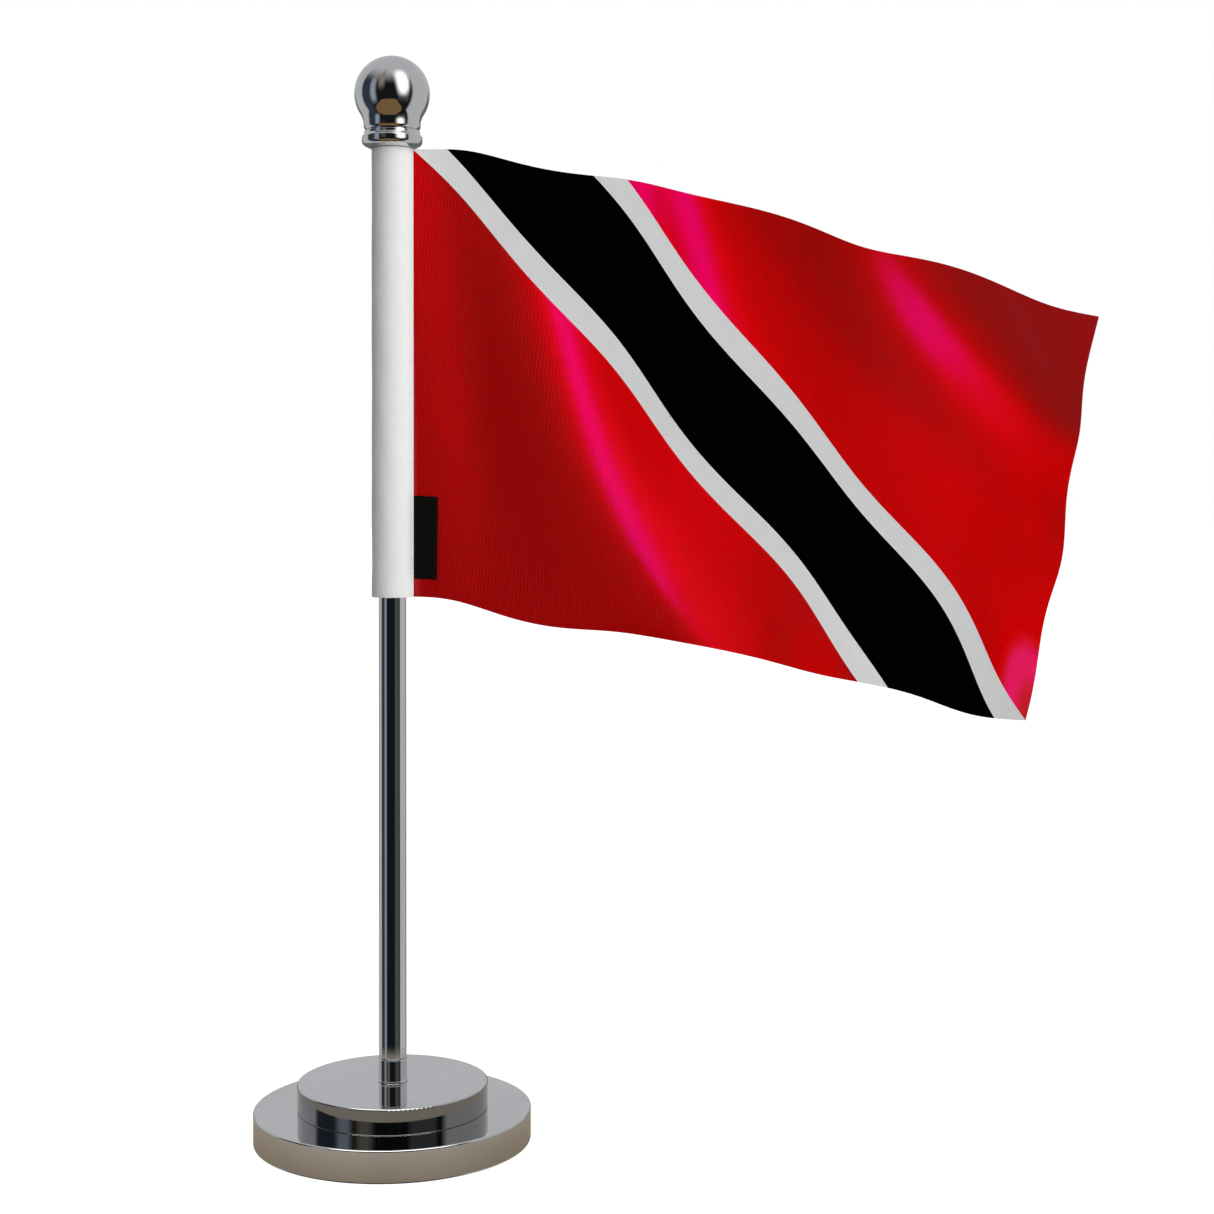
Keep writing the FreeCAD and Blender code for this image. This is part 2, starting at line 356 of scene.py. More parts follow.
# the closed top of the sleeve, drawn in round the finial's stud
cap = {
    "hole": 2.8 * mm,
    "edge": 5.85 * mm,
    "thickness": 0.4 * mm,
    "pleats": 14,
    "pleatDepth": 0.05 * mm,
    "rings": 10,
    "around": 112,
}


def makeCap():
    capLow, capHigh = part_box("sleeve_cap")
    middle = (capLow.z + capHigh.z) / 2
    vertices = []
    for ring in range(cap["rings"] + 1):
        share = ring / cap["rings"]
        radius = cap["hole"] + (cap["edge"] - cap["hole"]) * share
        for step in range(cap["around"]):
            angle = 2 * math.pi * step / cap["around"]
            fold = cap["pleatDepth"] * (1 - share) * math.sin(cap["pleats"] * angle)
            vertices.append((radius * math.cos(angle), radius * math.sin(angle), middle + fold))
    faces = []
    for ring in range(cap["rings"]):
        for step in range(cap["around"]):
            following = (step + 1) % cap["around"]
            first = ring * cap["around"] + step
            second = ring * cap["around"] + following
            faces.append((first, first + cap["around"], second + cap["around"], second))
    mesh = bpy.data.meshes.new("sleeveTop")
    mesh.from_pydata(vertices, [], faces)
    layer = mesh.uv_layers.new(name="cloth")
    for loop in mesh.loops:
        point = mesh.vertices[loop.vertex_index].co
        layer.data[loop.index].uv = (point.x / mm, point.y / mm)
    piece = meshObject("sleeveTop", mesh)
    thicken(piece, cap["thickness"])
    return piece


capPiece = makeCap()


# a plain woven label on the cloth's front
label = {
    "start": 0.32 * mm,           # beyond the cloth's edge, just clear of the seam
    "width": 6.9 * mm,
    "height": 26.0 * mm,
    "drop": 108.0 * mm,           # from the flag's top
    "thickness": 0.24 * mm,
    "edgeWidth": 0.07 * mm,       # how far its cut edges are rounded
    "lift": 0.30 * mm,            # middle of the label above the middle of the cloth
    "columns": 14,
    "rows": 44,
}


def onLabel(across, down, lift):
    # across and down are shares of the label; lift is off the cloth's middle
    u = (label["start"] + label["width"] * across) / (flag["reach"] * flag["fly"])
    v = (label["drop"] + label["height"] * down) / flag["hoist"]
    return Vector(clothPoint(u, v)) + clothNormal(u, v) * lift


def makeLabel():
    columns, rows = label["columns"], label["rows"]
    vertices = [
        onLabel(i / columns, j / rows, label["lift"])
        for j in range(rows + 1) for i in range(columns + 1)
    ]
    faces = []
    for j in range(rows):
        for i in range(columns):
            first = j * (columns + 1) + i
            faces.append((first, first + columns + 1, first + columns + 2, first + 1))
    mesh = bpy.data.meshes.new("wovenLabel")
    mesh.from_pydata(vertices, [], faces)
    layer = mesh.uv_layers.new(name="cloth")
    for loop in mesh.loops:
        j, i = divmod(loop.vertex_index, columns + 1)
        across, down = i / columns * label["width"], j / rows * label["height"]
        layer.data[loop.index].uv = (across / mm, down / mm)
    piece = meshObject("wovenLabel", mesh)
    thicken(piece, label["thickness"])
    roundEdges(piece, label["edgeWidth"])
    return piece


labelPiece = makeLabel()
print("sleeve top and label made")


view = {
    "place": (61.73 * mm, -661.2 * mm, 212.92 * mm),
    "pitch": 0.4026,              # degrees down
    "turn": 0.4552,               # degrees to the right
    "lens": 62.763,
    "sensor": 36,
    "shift": -0.11,
    "nearest": 0.01,              # in metres
}
camera = bpy.data.objects.new("camera", bpy.data.cameras.new("camera"))
scene.collection.objects.link(camera)
camera.location = view["place"]
camera.rotation_euler = (math.radians(90 - view["pitch"]), 0, -math.radians(view["turn"]))
camera.data.lens = view["lens"]
camera.data.sensor_width = view["sensor"]
camera.data.shift_y = view["shift"]
camera.data.clip_start = view["nearest"]
scene.camera = camera
scene.view_settings.view_transform = "Standard"


# the studio is a grey tent with a dark opening towards the viewer, and windows in it
tentGrey = (0.58, 0.585, 0.60, 1)
studioSoft = 0.45                 # the tent's share for cloth and other dull pieces
studioPanels = [
    # in degrees: azimuth to the right of the viewer's direction, elevation above the horizon
    {"name": "opening", "azimuth": -14, "elevation": -25, "halfWidth": 84, "halfHeight": 69,
     "edge": (12, 50), "colour": (0.010, 0.011, 0.013, 1)},
    {"name": "blueShade", "azimuth": -82, "elevation": -5, "halfWidth": 15, "halfHeight": 40,
     "edge": (12, 30), "colour": (0.040, 0.050, 0.070, 1)},
    {"name": "coolWindow", "azimuth": -56, "elevation": 6, "halfWidth": 9, "halfHeight": 30,
     "edge": (12, 24), "colour": (0.34, 0.39, 0.46, 1)},
    {"name": "warmCard", "azimuth": -29, "elevation": 38, "halfWidth": 9, "halfHeight": 24,
     "edge": (12, 30), "colour": (0.30, 0.26, 0.21, 1)},
    {"name": "slateWall", "azimuth": 42, "elevation": 4, "halfWidth": 17, "halfHeight": 28,
     "edge": (8, 20), "colour": (0.085, 0.092, 0.09, 1)},
    {"name": "backLeft", "azimuth": -162, "elevation": -22, "halfWidth": 20, "halfHeight": 30,
     "edge": (10, 14), "colour": (0.16, 0.165, 0.17, 1)},
    {"name": "backRight", "azimuth": 162, "elevation": -22, "halfWidth": 20, "halfHeight": 30,
     "edge": (10, 14), "colour": (0.16, 0.165, 0.17, 1)},
]


def makeWorld():
    world = bpy.data.worlds.new("studio")
    scene.world = world
    world.use_nodes = True
    tree = world.node_tree
    tree.nodes.clear()
    direction = place(tree, "ShaderNodeTexCoord").outputs["Generated"]
    split = place(tree, "ShaderNodeSeparateXYZ", {"Vector": direction})
    forward = calc(tree, "MULTIPLY", split.outputs["Y"], -1.0)
    azimuth = calc(tree, "ARCTAN2", split.outputs["X"], forward)
    elevation = calc(tree, "ARCSINE", split.outputs["Z"])
    colour = place(tree, "ShaderNodeRGB").outputs[0]
    colour.default_value = tentGrey
    for panel in studioPanels:
        masks = []
        for angle, centre, half, edge in (
            (azimuth, panel["azimuth"], panel["halfWidth"], panel["edge"][0]),
            (elevation, panel["elevation"], panel["halfHeight"], panel["edge"][1]),
        ):
            away = calc(tree, "ABSOLUTE", calc(tree, "SUBTRACT", angle, math.radians(centre)))
            inner = math.radians(half - edge / 2)
            outer = math.radians(half + edge / 2)
            masks.append(ramp(tree, away, 1.0, 0.0, inner, outer, smooth=True))
        mask = calc(tree, "MULTIPLY", *masks)
        colour = mixColour(tree, mask, colour, panel["colour"])
    path = place(tree, "ShaderNodeLightPath").outputs
    seen = path["Is Camera Ray"]
    strength = ramp(tree, path["Is Diffuse Ray"], 1.0, studioSoft)
    tent = place(tree, "ShaderNodeBackground", {"Color": colour, "Strength": strength})
    backdrop = place(tree, "ShaderNodeBackground", {"Color": (1, 1, 1, 1), "Strength": 1.0})
    mixed = place(
        tree, "ShaderNodeMixShader", {0: seen, 1: tent.outputs[0], 2: backdrop.outputs[0]}
    )
    place(tree, "ShaderNodeOutputWorld", {"Surface": mixed.outputs[0]})


makeWorld()

table = {
    # its sides in metres from the stand's middle
    "left": -0.37,
    "right": 0.23,
    "front": -0.88,
    "back": -0.11,
    "corner": 0.18,               # radius of its corners
    "edge": 0.05,                 # how wide its soft edge is
    "brown": (0.23, 0.135, 0.058, 1),
    # the pale ground close to the stand, seen only in reflections: its colours by the distance from
    # the stand's middle, darkest next to the stand as painted shade
    "nearShadeTones": [
        (0.045, (0.30, 0.24, 0.18, 1)),
        (0.075, (0.45, 0.40, 0.33, 1)),
        (0.085, (0.44, 0.39, 0.32, 1)),
    ],
    "nearEnd": 0.115,
    "flatView": (0.56, 0.63),     # over these values of Facing, steep reflections become flat ones
}
ground = {
    "half": 6.0,                  # in metres
    "glow": 1.5,
    "glowShare": 0.72,            # how much of its look to the viewer is the glow
}


def makeFloor():
    # pale to the viewer; in reflections it is a warm table top, and the tent beyond its edges
    mesh = bpy.data.meshes.new("floor")
    far = ground["half"]
    corners = [(-far, -far, 0), (far, -far, 0), (far, far, 0), (-far, far, 0)]
    mesh.from_pydata(corners, [], [(0, 1, 2, 3)])
    floor = bpy.data.objects.new("floor", mesh)
    scene.collection.objects.link(floor)
    material, tree, shader = newMaterial("paleFloor", (0.95, 0.95, 0.95))
    output = tree.nodes["Material Output"]
    where = place(tree, "ShaderNodeTexCoord").outputs["Object"]
    split = place(tree, "ShaderNodeSeparateXYZ", {"Vector": where})
    fine = noise(tree, where, 900.0, 2.0)
    paper = mixColour(tree, fine, (0.93, 0.93, 0.93, 1), (0.97, 0.97, 0.97, 1))
    linkTo(tree, paper, shader, "Base Color")
    shader.inputs["Roughness"].default_value = 0.9
    shader.inputs["Specular IOR Level"].default_value = 0.0

    def blend(share, first, second):
        ends = {0: share, 1: first.outputs[0], 2: second.outputs[0]}
        return place(tree, "ShaderNodeMixShader", ends)

    glow = place(tree, "ShaderNodeEmission", {"Color": (1, 1, 1, 1), "Strength": ground["glow"]})
    backdrop = blend(ground["glowShare"], shader, glow)
    # how far outside a table top with round corners
    sides = []
    spans = (("X", table["left"], table["right"]), ("Y", table["front"], table["back"]))
    for axis, low, high in spans:
        half = (high - low) / 2
        away = calc(tree, "ABSOLUTE", calc(tree, "SUBTRACT", split.outputs[axis], low + half))
        past = calc(tree, "MAXIMUM", calc(tree, "SUBTRACT", away, half - table["corner"]), 0.0)
        sides.append(calc(tree, "POWER", past, 2.0))
    beyond = calc(tree, "SUBTRACT", calc(tree, "SQRT", calc(tree, "ADD", *sides)), table["corner"])
    outside = ramp(tree, beyond, 0.0, 1.0, -table["edge"] / 2, table["edge"] / 2, smooth=True)
    # the table shows in steep reflections, the near ground in flat ones
    facing = place(tree, "ShaderNodeLayerWeight", {"Blend": 0.5}).outputs["Facing"]
    flatView = ramp(tree, facing, 0.0, 1.0, *table["flatView"], smooth=True)
    length = place(tree, "ShaderNodeVectorMath", {0: where}, operation="LENGTH")
    distance = length.outputs["Value"]
    # painted shade: in reflections the ground darkens towards the stand
    tones = table["nearShadeTones"]
    colour = tones[0][1]
    for i in range(1, len(tones)):
        passed = ramp(tree, distance, 0.0, 1.0, tones[i - 1][0], tones[i][0])
        colour = mixColour(tree, passed, colour, tones[i][1])
    beyondNear = ramp(tree, distance, 0.0, 1.0, tones[-1][0], table["nearEnd"], smooth=True)
    clear = place(tree, "ShaderNodeBsdfTransparent")
    brown = place(tree, "ShaderNodeEmission", {"Color": table["brown"]})
    pale = place(tree, "ShaderNodeEmission", {"Color": colour})
    steepSide = blend(outside, brown, clear)
    flatSide = blend(beyondNear, pale, clear)
    mirrored = blend(flatView, steepSide, flatSide)
    path = place(tree, "ShaderNodeLightPath").outputs
    unseen = blend(path["Is Glossy Ray"], shader, mirrored)
    both = blend(path["Is Camera Ray"], unseen, backdrop)
    # seen from below, the floor is clear
    under = place(tree, "ShaderNodeNewGeometry").outputs["Backfacing"]
    oneSided = blend(under, both, clear)
    tree.links.new(oneSided.outputs[0], output.inputs["Surface"])
    floor.data.materials.append(material)


makeFloor()

# everything made so far but the flag; the stitches come later and are not among them
dullPieces = [name for name in bpy.data.objects.keys() if name not in ("flagCloth", "camera")]
discPieces = [nodes[name].name for name in ("base_disc", "step_disc")]
ballPieces = [nodes[name].name for name in ("finial_ball", "finial_collar")]
lamps = [
    # azimuth and elevation as for the studio's panels, and how wide and high each looks, in
    # degrees; a lamp that leans is turned about the line to the flag
    {"name": "window", "azimuth": 40, "elevation": 26, "width": 50, "height": 76,
     "radiance": 2.55, "colour": (1, 1, 1), "rays": ("diffuse",), "lights": dullPieces},
    {"name": "windowOnBall", "azimuth": 36, "elevation": 29, "width": 54, "height": 92,
     "radiance": 3.0, "colour": (1, 1, 0.97), "soft": 0.5, "rays": ("glossy",), "lights": ballPieces},
    {"name": "satinFront", "azimuth": -6, "elevation": -16, "width": 80, "height": 70,
     "radiance": 2.08, "colour": (1, 1, 1), "rays": ("diffuse",), "lights": ["flagCloth"]},
    {"name": "satinBack", "azimuth": 180, "elevation": 6, "width": 80, "height": 70,
     "radiance": 1.7, "colour": (1, 1, 1), "rays": ("diffuse",), "lights": ["flagCloth"]},
    {"name": "rimLight", "azimuth": 0, "elevation": 64, "width": 80, "height": 34,
     "radiance": 3.0, "colour": (1, 1, 1), "rays": ("glossy",), "lights": discPieces},
    {"name": "satinSide", "azimuth": 57, "elevation": -8, "width": 54, "height": 66,
     "radiance": 3.6, "colour": (1, 0, 0), "rays": ("glossy",), "lights": ["flagCloth"]},
    {"name": "satinFill", "azimuth": 0, "elevation": 5, "width": 24, "height": 24,
     "radiance": 2.6, "colour": (1, 0, 0), "rays": ("glossy",), "lights": ["flagCloth"]},
    {"name": "satinRight", "azimuth": 30, "elevation": 28, "width": 30, "height": 16,
     "radiance": 2.8, "colour": (1, 0, 0), "rays": ("glossy",), "lights": ["flagCloth"]},
    {"name": "satinStrip", "azimuth": -1, "elevation": 20, "width": 14, "height": 46,
     "lean": 35, "radiance": 6.0, "colour": (1, 0, 0),
     "rays": ("glossy",), "lights": ["flagCloth"]},
    # nearer than the strip, which would hide it
    {"name": "satinGlint", "azimuth": -1, "elevation": 20, "width": 5, "height": 42,
     "lean": 35, "radiance": 10.0, "colour": (1, 0, 0.8), "distance": 1.4,
     "rays": ("glossy",), "lights": ["flagCloth"]},
    {"name": "satinGleam", "azimuth": 76, "elevation": 10, "width": 8, "height": 18,
     "radiance": 8.0, "colour": (1, 0, 0.7), "rays": ("glossy",), "lights": ["flagCloth"]},
]


lampTarget = Vector((110 * mm, 0, 240 * mm))   # near the middle of the flag
lampDistance = 1.5


def softenLamp(lamp, edge):
    # fades the lamp out over this share of its width and height
    lamp.use_nodes = True
    tree = lamp.node_tree
    where = place(tree, "ShaderNodeNewGeometry").outputs["Parametric"]
    split = place(tree, "ShaderNodeSeparateXYZ", {"Vector": where}).outputs
    fades = []
    for axis in ("X", "Y"):
        away = calc(tree, "ABSOLUTE", calc(tree, "SUBTRACT", split[axis], 0.5))
        fades.append(ramp(tree, away, 1.0, 0.0, 0.5 - edge, 0.5, smooth=True))
    linkTo(tree, calc(tree, "MULTIPLY", *fades), tree.nodes["Emission"], "Strength")


def makeLamp(given):
    distance = given.get("distance", lampDistance)
    turn, rise = math.radians(given["azimuth"]), math.radians(given["elevation"])
    away = Vector((
        math.sin(turn) * math.cos(rise), -math.cos(turn) * math.cos(rise), math.sin(rise)
    ))
    lamp = bpy.data.lights.new(given["name"], "AREA")
    lamp.shape = "RECTANGLE"
    lamp.size = 2 * distance * math.tan(math.radians(given["width"] / 2))
    lamp.size_y = 2 * distance * math.tan(math.radians(given["height"] / 2))
    lamp.energy = given["radiance"] * math.pi * lamp.size * lamp.size_y
    lamp.color = given["colour"]
    if "soft" in given:
        softenLamp(lamp, given["soft"])
    holder = bpy.data.objects.new(given["name"], lamp)
    scene.collection.objects.link(holder)
    holder.location = lampTarget + away * distance
    aim = (-away).to_track_quat("-Z", "Y")
    lean = Quaternion((0, 0, 1), math.radians(-given.get("lean", 0)))
    holder.rotation_euler = (aim @ lean).to_euler()
    holder.visible_diffuse = "diffuse" in given["rays"]
    holder.visible_glossy = "glossy" in given["rays"]
    holder.visible_camera = False
    receivers = bpy.data.collections.new(given["name"] + "Receivers")
    for name in given["lights"]:
        receivers.objects.link(bpy.data.objects[name])
    holder.light_linking.receiver_collection = receivers


for given in lamps:
    makeLamp(given)
print("camera, studio and lights set")


def clothCoordinates(tree, scale=(1, 1, 1)):
    # the piece's own cloth map, scaled to millimetres where it is not already in them
    where = place(tree, "ShaderNodeUVMap", uv_map="cloth").outputs["UV"]
    return place(tree, "ShaderNodeMapping", {"Vector": where, "Scale": scale}).outputs["Vector"]


satin = {
    "threadPitch": 1.05,          # the visible lines of the satin, in mm
    "lean": -0.10,                # how far the lines lean sideways for each mm of height
    "stretch": 0.03,              # the lines wander this much slower along their length
    "wander": 0.9,                # in mm
    "weavePitch": 0.32,           # in mm
    "lineHeight": 0.018 * mm,
    "weaveHeight": 0.006 * mm,
    "flagSize": [round(flag[side] / mm, 1) for side in ("fly", "hoist")] + [1],
}


def makeSatin(name, light, dark, roughness, finish):
    material, tree, shader = newMaterial(name, light)
    where = clothCoordinates(tree, satin["flagSize"])
    split = place(tree, "ShaderNodeSeparateXYZ", {"Vector": where})
    across, up = split.outputs["X"], split.outputs["Y"]
    # long uneven threads down the cloth, and a fine plain weave under them
    stretched = place(
        tree, "ShaderNodeMapping", {"Vector": where, "Scale": (1, satin["stretch"], 1)}
    ).outputs["Vector"]
    wander = noise(tree, stretched, 0.6, 2.0)
    leaning = calc(tree, "ADD", across, calc(tree, "MULTIPLY", up, satin["lean"]))
    shifted = calc(tree, "ADD", leaning, calc(tree, "MULTIPLY", wander, satin["wander"]))
    lines = calc(tree, "SINE", calc(tree, "MULTIPLY", shifted, 2 * math.pi / satin["threadPitch"]))
    patches = noise(tree, where, 0.16, 3.0, 0.5)
    height = calc(tree, "MULTIPLY", lines, ramp(tree, patches, 0.5, 1.0, 0.35, 0.65))
    fineness = 2 * math.pi / satin["weavePitch"]
    weft = calc(tree, "SINE", calc(tree, "MULTIPLY", up, fineness))
    warp = calc(tree, "SINE", calc(tree, "MULTIPLY", across, fineness))
    weave = calc(tree, "MULTIPLY", warp, weft)
    share = satin["weaveHeight"] / satin["lineHeight"]
    relief = calc(tree, "ADD", height, calc(tree, "MULTIPLY", weave, share))
    raised = place(
        tree, "ShaderNodeBump", {"Height": relief, "Strength": 1.0, "Distance": satin["lineHeight"]}
    ).outputs["Normal"]
    linkTo(tree, raised, shader, "Normal")
    # the colour mottles broadly, and lightens a little on the weave's high points as a painted
    # highlight
    mottle = noise(tree, where, 0.05, 4.0)
    broad = calc(tree, "MULTIPLY", mottle, 0.7)
    tone = calc(tree, "ADD", broad, ramp(tree, weave, 0.0, 0.3, -1.0, 1.0))
    linkTo(tree, mixColour(tree, tone, (*dark, 1), (*light, 1)), shader, "Base Color")
    uneven = ramp(tree, patches, roughness - 0.015, roughness + 0.02, 0.3, 0.7)
    linkTo(tree, uneven, shader, "Roughness")
    for socket, value in finish.items():
        shader.inputs[socket].default_value = value
    return material


redSatin = makeSatin(
    "redSatin", (0.45, 0.0003, 0.0003), (0.40, 0.0002, 0.0002), 0.29,
    {"Metallic": 0.15, "Specular IOR Level": 0.0, "Specular Tint": (1, 0, 0, 1),
     "Coat Weight": 0.4, "Coat Roughness": 0.13},
)
whiteSatin = makeSatin(
    "whiteSatin", (0.90, 0.90, 0.90), (0.84, 0.84, 0.84), 0.40, {"Specular IOR Level": 0.0}
)
blackSatin = makeSatin(
    "blackSatin", (0.0012, 0.0012, 0.0012), (0.0006, 0.0006, 0.0006), 0.85,
    {"Specular IOR Level": 0.0},
)
paint(flagPiece, redSatin, whiteSatin, blackSatin)


def makeWovenCloth(name, light, dark, pitch, depth, roughness, specular, sheen):
    material, tree, shader = newMaterial(name, light)
    where = clothCoordinates(tree)
    split = place(tree, "ShaderNodeSeparateXYZ", {"Vector": where})
    waves = [
        calc(tree, "SINE", calc(tree, "MULTIPLY", split.outputs[axis], 2 * math.pi / pitch))
        for axis in ("X", "Y")
    ]
    weave = calc(tree, "MULTIPLY", *waves)
    uneven = noise(tree, where, 0.35, 4.0)
    drawn = place(tree, "ShaderNodeMapping", {"Vector": where, "Scale": (1.2, 0.08, 1)})
    slubs = noise(tree, drawn.outputs[0], 1.5)
    relief = calc(tree, "ADD", weave, calc(tree, "MULTIPLY", slubs, 1.4))
    bump(tree, relief, shader, 1.0, depth)
    # the colour mottles, and lightens a little on the weave's high points as a painted highlight
    broad = calc(tree, "MULTIPLY", uneven, 0.75)
    tone = calc(tree, "ADD", broad, ramp(tree, weave, 0.0, 0.25, -1.0, 1.0))
    linkTo(tree, mixColour(tree, tone, (*dark, 1), (*light, 1)), shader, "Base Color")
    matt = ramp(tree, uneven, roughness - 0.08, roughness + 0.08, 0.3, 0.7)
    linkTo(tree, matt, shader, "Roughness")
    shader.inputs["Specular IOR Level"].default_value = specular
    shader.inputs["Sheen Weight"].default_value = sheen
    shader.inputs["Sheen Roughness"].default_value = 0.5
    return material


sleeveWhite = makeWovenCloth(
    "sleeveWhite", (0.90, 0.90, 0.88), (0.82, 0.82, 0.80),
    pitch=0.42, depth=0.012 * mm, roughness=0.8, specular=0.2, sheen=0.1,
)
labelBlack = makeWovenCloth(
    "labelBlack", (0.008, 0.006, 0.006), (0.003, 0.002, 0.002),
    pitch=0.30, depth=0.02 * mm, roughness=0.8, specular=0.08, sheen=0.0,
)
paint(sleevePiece, sleeveWhite)
paint(capPiece, sleeveWhite)
paint(labelPiece, labelBlack)


def makeThread(name, light, dark, roughness):
    material, tree, shader = newMaterial(name, light)
    where = place(tree, "ShaderNodeTexCoord").outputs["Object"]
    twist = place(
        tree, "ShaderNodeTexWave", {"Vector": where, "Scale": 1800.0, "Distortion": 1.0},
        bands_direction="DIAGONAL",
    ).outputs["Fac"]
    # painted shade: the thread is darker in the twist's grooves and lighter on its ridges
    linkTo(tree, mixColour(tree, twist, (*dark, 1), (*light, 1)), shader, "Base Color")
    bump(tree, twist, shader, 0.6, 0.03 * mm)
    fibres = noise(tree, where, 4000.0)
    linkTo(tree, ramp(tree, fibres, roughness - 0.1, roughness + 0.1), shader, "Roughness")
    return material


whiteThread = makeThread("whiteThread", (0.90, 0.89, 0.86), (0.72, 0.71, 0.68), 0.6)
darkThread = makeThread("darkThread", (0.03, 0.028, 0.028), (0.010, 0.008, 0.008), 0.55)


# "inset" is how far a row stands in from the edge beside it, and "margin" from its ends
stitching = {
    "hoist": {"length": 2.1 * mm, "gap": 0.55 * mm, "thickness": 0.26 * mm,
              "inset": 0.38 * mm, "margin": 1.2 * mm, "steps": 40},
    "label": {"length": 1.1 * mm, "gap": 0.45 * mm, "thickness": 0.20 * mm,
              "inset": 0.5 * mm, "margin": 0.8 * mm, "steps": 30},
    "pressed": 0.7,               # height of a stitch, as a share of its thickness
}


def stitchTree():
    # lays short stitches of thread along a line
    tree = bpy.data.node_groups.new("stitches", "GeometryNodeTree")
    sockets = {
        "Line": "NodeSocketGeometry", "Length": "NodeSocketFloat", "Gap": "NodeSocketFloat",
        "Thickness": "NodeSocketFloat", "Thread": "NodeSocketMaterial",
    }
    for name, kind in sockets.items():
        tree.interface.new_socket(name, in_out="INPUT", socket_type=kind)
    tree.interface.new_socket("Stitches", in_out="OUTPUT", socket_type="NodeSocketGeometry")
    given = place(tree, "NodeGroupInput").outputs
    curve = place(tree, "GeometryNodeMeshToCurve", {"Mesh": given["Line"]})
    pitch = calc(tree, "ADD", given["Length"], given["Gap"])
    points = place(
        tree, "GeometryNodeCurveToPoints", {"Curve": curve.outputs[0], "Length": pitch},
        mode="LENGTH",
    )
    # one stitch is a bead, stretched along the line and pressed flat
    bead = place(tree, "GeometryNodeMeshUVSphere", {"Segments": 8, "Rings": 7, "Radius": 0.5})
    low = calc(tree, "MULTIPLY", given["Thickness"], stitching["pressed"])
    size = place(
        tree, "ShaderNodeCombineXYZ", {"X": low, "Y": given["Thickness"], "Z": given["Length"]}
    )
    laid = place(
        tree, "GeometryNodeInstanceOnPoints",
        {"Points": points.outputs["Points"], "Instance": bead.outputs["Mesh"],
         "Rotation": points.outputs["Rotation"], "Scale": size.outputs[0]},
    )
    real = place(tree, "GeometryNodeRealizeInstances", {"Geometry": laid.outputs[0]})
    smooth = place(tree, "GeometryNodeSetShadeSmooth", {"Geometry": real.outputs[0]})
    finished = place(
        tree, "GeometryNodeSetMaterial",
        {"Geometry": smooth.outputs[0], "Material": given["Thread"]},
    )
    place(tree, "NodeGroupOutput", {"Stitches": finished.outputs[0]})
    return tree


stitches = stitchTree()


def sew(name, lines, sizes, thread):
    # lines: lists of points that the stitches follow
    mesh = bpy.data.meshes.new(name + "Lines")
    vertices = [point for line in lines for point in line]
    edges = []
    first = 0
    for line in lines:
        edges += [(first + i, first + i + 1) for i in range(len(line) - 1)]
        first += len(line)
    mesh.from_pydata(vertices, edges, [])
    guide = bpy.data.objects.new(name + "Lines", mesh)
    scene.collection.objects.link(guide)
    modifier = guide.modifiers.new("stitches", "NODES")
    modifier.node_group = stitches
    values = {
        "Length": sizes["length"], "Gap": sizes["gap"], "Thickness": sizes["thickness"],
        "Thread": thread,
    }
    for item in stitches.interface.items_tree:
        if item.in_out == "INPUT" and item.name in values:
            modifier[item.identifier] = values[item.name]
    shown = bpy.context.evaluated_depsgraph_get()
    result = bpy.data.meshes.new_from_object(guide.evaluated_get(shown))
    bpy.data.objects.remove(guide)
    piece = bpy.data.objects.new(name, result)
    scene.collection.objects.link(piece)
    return piece


def hoistLines():
    # one row on each side of the seam
    given = stitching["hoist"]
    x = sleeve["seamEnd"] - given["inset"]
    y = sleeve["seamHalf"] + sleeve["thickness"] / 2
    low, high = sleeveLow.z + given["margin"], sleeveHigh.z - given["margin"]
    steps = given["steps"]
    return [
        [Vector((x, side * y, low + (high - low) * i / steps)) for i in range(steps + 1)]
        for side in (-1, 1)
    ]


def labelLines():
    # one row down each long side of the label
    given = stitching["label"]
    top = label["lift"] + label["thickness"] / 2
    inset = given["inset"] / label["width"]
    margin = given["margin"] / label["height"]
    steps = given["steps"]
    return [
        [onLabel(across, margin + (1 - 2 * margin) * i / steps, top) for i in range(steps + 1)]
        for across in (inset, 1 - inset)
    ]


hoistStitches = sew("hoistStitches", hoistLines(), stitching["hoist"], whiteThread)
labelStitches = sew("labelStitches", labelLines(), stitching["label"], darkThread)
stitchFaces = sum(len(piece.data.polygons) for piece in (hoistStitches, labelStitches))
print("stitches laid:", stitchFaces, "faces")


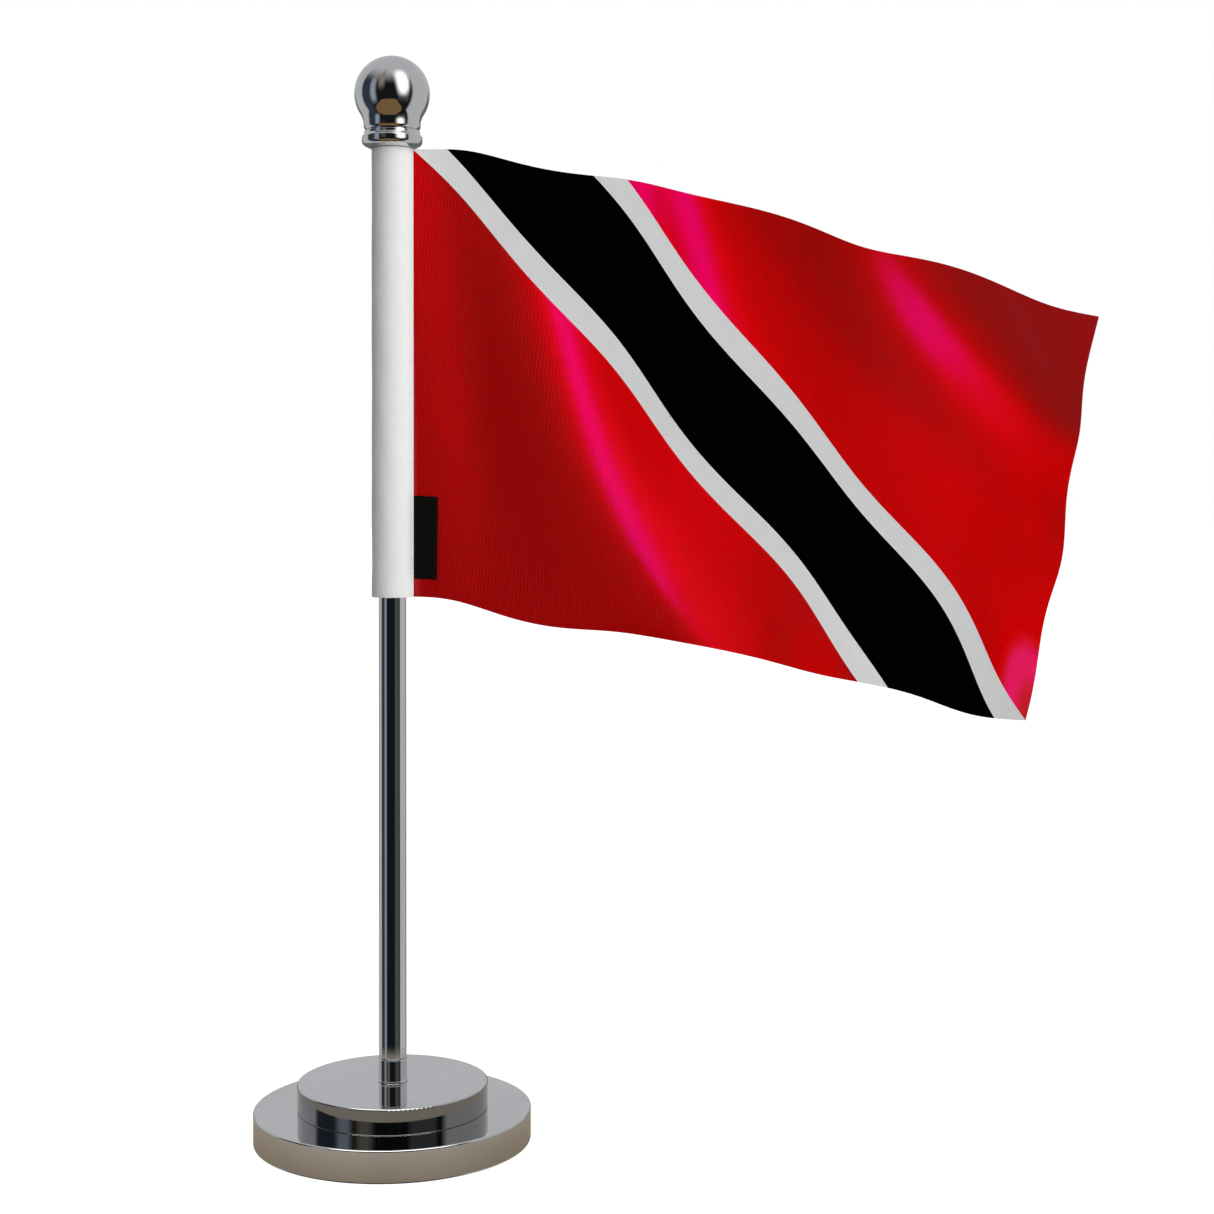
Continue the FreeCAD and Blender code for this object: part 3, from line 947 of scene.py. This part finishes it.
def makeTurnedMetal(name, colour, roughness, linePitch, lineDepth, paintedSideShade=1.0, topHeight=0.0):
    # faint turning lines, wipe marks, small spots and a little unevenness in the surface
    material, tree, shader = newMaterial(name, colour)
    where = place(tree, "ShaderNodeTexCoord").outputs["Object"]
    split = place(tree, "ShaderNodeSeparateXYZ", {"Vector": where})
    squares = [calc(tree, "POWER", split.outputs[axis], 2.0) for axis in ("X", "Y")]
    radius = calc(tree, "SQRT", calc(tree, "ADD", *squares))
    turned = calc(tree, "ADD", radius, split.outputs["Z"])
    drift = calc(tree, "MULTIPLY", noise(tree, where, 60.0), linePitch * 2)
    along = calc(tree, "ADD", turned, drift)
    rings = calc(tree, "SINE", calc(tree, "MULTIPLY", along, 2 * math.pi / linePitch))
    wipes = noise(tree, where, 45.0, 5.0, 0.6, 0.4)
    spots = noise(tree, where, 700.0, 2.0)
    bump(tree, rings, shader, 0.15, lineDepth)
    worn = ramp(tree, wipes, roughness * 0.6, roughness * 1.5, 0.35, 0.7)
    spotted = ramp(tree, spots, 0.0, roughness * 0.4, 0.5, 0.75)
    linkTo(tree, calc(tree, "ADD", worn, spotted), shader, "Roughness")
    dull = tuple(0.93 * value for value in colour)
    plating = mixColour(tree, ramp(tree, wipes, 0.0, 1.0, 0.4, 0.7), (*colour, 1), (*dull, 1))
    if paintedSideShade < 1:
        # painted shade: the side of a disc is darkened below its polished top, standing in for the
        # darker reflection that the side shows
        low, high = topHeight - 0.5 * mm, topHeight - 0.1 * mm
        onTop = ramp(tree, split.outputs["Z"], paintedSideShade, 1.0, low, high)
        shade = place(
            tree, "ShaderNodeCombineColor", {"Red": onTop, "Green": onTop, "Blue": onTop}
        )
        plating = mixColour(tree, 1.0, plating, shade.outputs[0], "MULTIPLY")
    linkTo(tree, plating, shader, "Base Color")
    shader.inputs["Metallic"].default_value = 1.0
    return material


mirror = {
    "colour": (0.66, 0.665, 0.672),
    "roughness": 0.035,
    "linePitch": 0.35 * mm,
    "lineDepth": 0.00002 * mm,
}
chrome = makeTurnedMetal("mirrorChrome", **mirror)
# the step disc's chrome, with painted shade on its side
stepChromePaintedShade = makeTurnedMetal(
    "mirrorChromeStepPaintedShade", **mirror, paintedSideShade=0.45, topHeight=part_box("step_disc")[1].z
)
steel = makeTurnedMetal("zincSteel", (0.56, 0.57, 0.60), 0.30, 0.22 * mm, 0.003 * mm)
brass = makeTurnedMetal("turnedBrass", (0.78, 0.60, 0.30), 0.22, 0.25 * mm, 0.003 * mm)


def makeFoam():
    material, tree, shader = newMaterial("footFoam", (0.03, 0.03, 0.032))
    where = place(tree, "ShaderNodeTexCoord").outputs["Object"]
    foamCells = place(tree, "ShaderNodeTexVoronoi", {"Vector": where, "Scale": 1400.0})
    cells = foamCells.outputs["Distance"]
    broad = noise(tree, where, 90.0, 4.0)
    bump(tree, cells, shader, 0.8, 0.12 * mm)
    greys = mixColour(tree, broad, (0.018, 0.018, 0.020, 1), (0.045, 0.045, 0.048, 1))
    linkTo(tree, greys, shader, "Base Color")
    linkTo(tree, ramp(tree, cells, 0.85, 0.98), shader, "Roughness")
    return material


def makeNylon():
    material, tree, shader = newMaterial("nylonWhite", (0.86, 0.85, 0.80))
    where = place(tree, "ShaderNodeTexCoord").outputs["Object"]
    cloudy = noise(tree, where, 220.0, 4.0)
    creams = mixColour(tree, cloudy, (0.78, 0.77, 0.71, 1), (0.88, 0.87, 0.83, 1))
    linkTo(tree, creams, shader, "Base Color")
    linkTo(tree, ramp(tree, cloudy, 0.35, 0.55), shader, "Roughness")
    bump(tree, noise(tree, where, 2500.0), shader, 0.3, 0.02 * mm)
    shader.inputs["Subsurface Weight"].default_value = 0.15
    shader.inputs["Subsurface Radius"].default_value = (0.001, 0.001, 0.001)
    return material


foam = makeFoam()
nylon = makeNylon()
finishes = {
    stepChromePaintedShade: ("step_disc",),
    chrome: ("base_disc", "pole_collar", "pole_tube", "finial_collar", "finial_ball"),
    steel: ("base_bolt", "base_spring_washer", "base_flat_washer", "finial_stud"),
    brass: ("pole_foot_bush", "pole_top_bush"),
    nylon: ("finial_washer",),
    foam: ("foot_pad",),
}
for finish, names in finishes.items():
    for name in names:
        for slot in nodes[name].material_slots:
            slot.material = finish
print("finishes set")


# the cloth pieces turn with the flag, and each stands for one CAD node
for piece, node, slotName in (
    (flagPiece, "flag_panel", "flag_cloth"),
    (sleevePiece, "flag_sleeve", "sleeve_cloth"),
    (capPiece, "sleeve_cap", "sleeve_cloth"),
    (hoistStitches, "hoist_stitching", "white_thread"),
    (labelPiece, "sewn_label", "label_ribbon"),
    (labelStitches, "label_stitching", "dark_thread"),
):
    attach(piece, "flag")
    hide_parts(node)
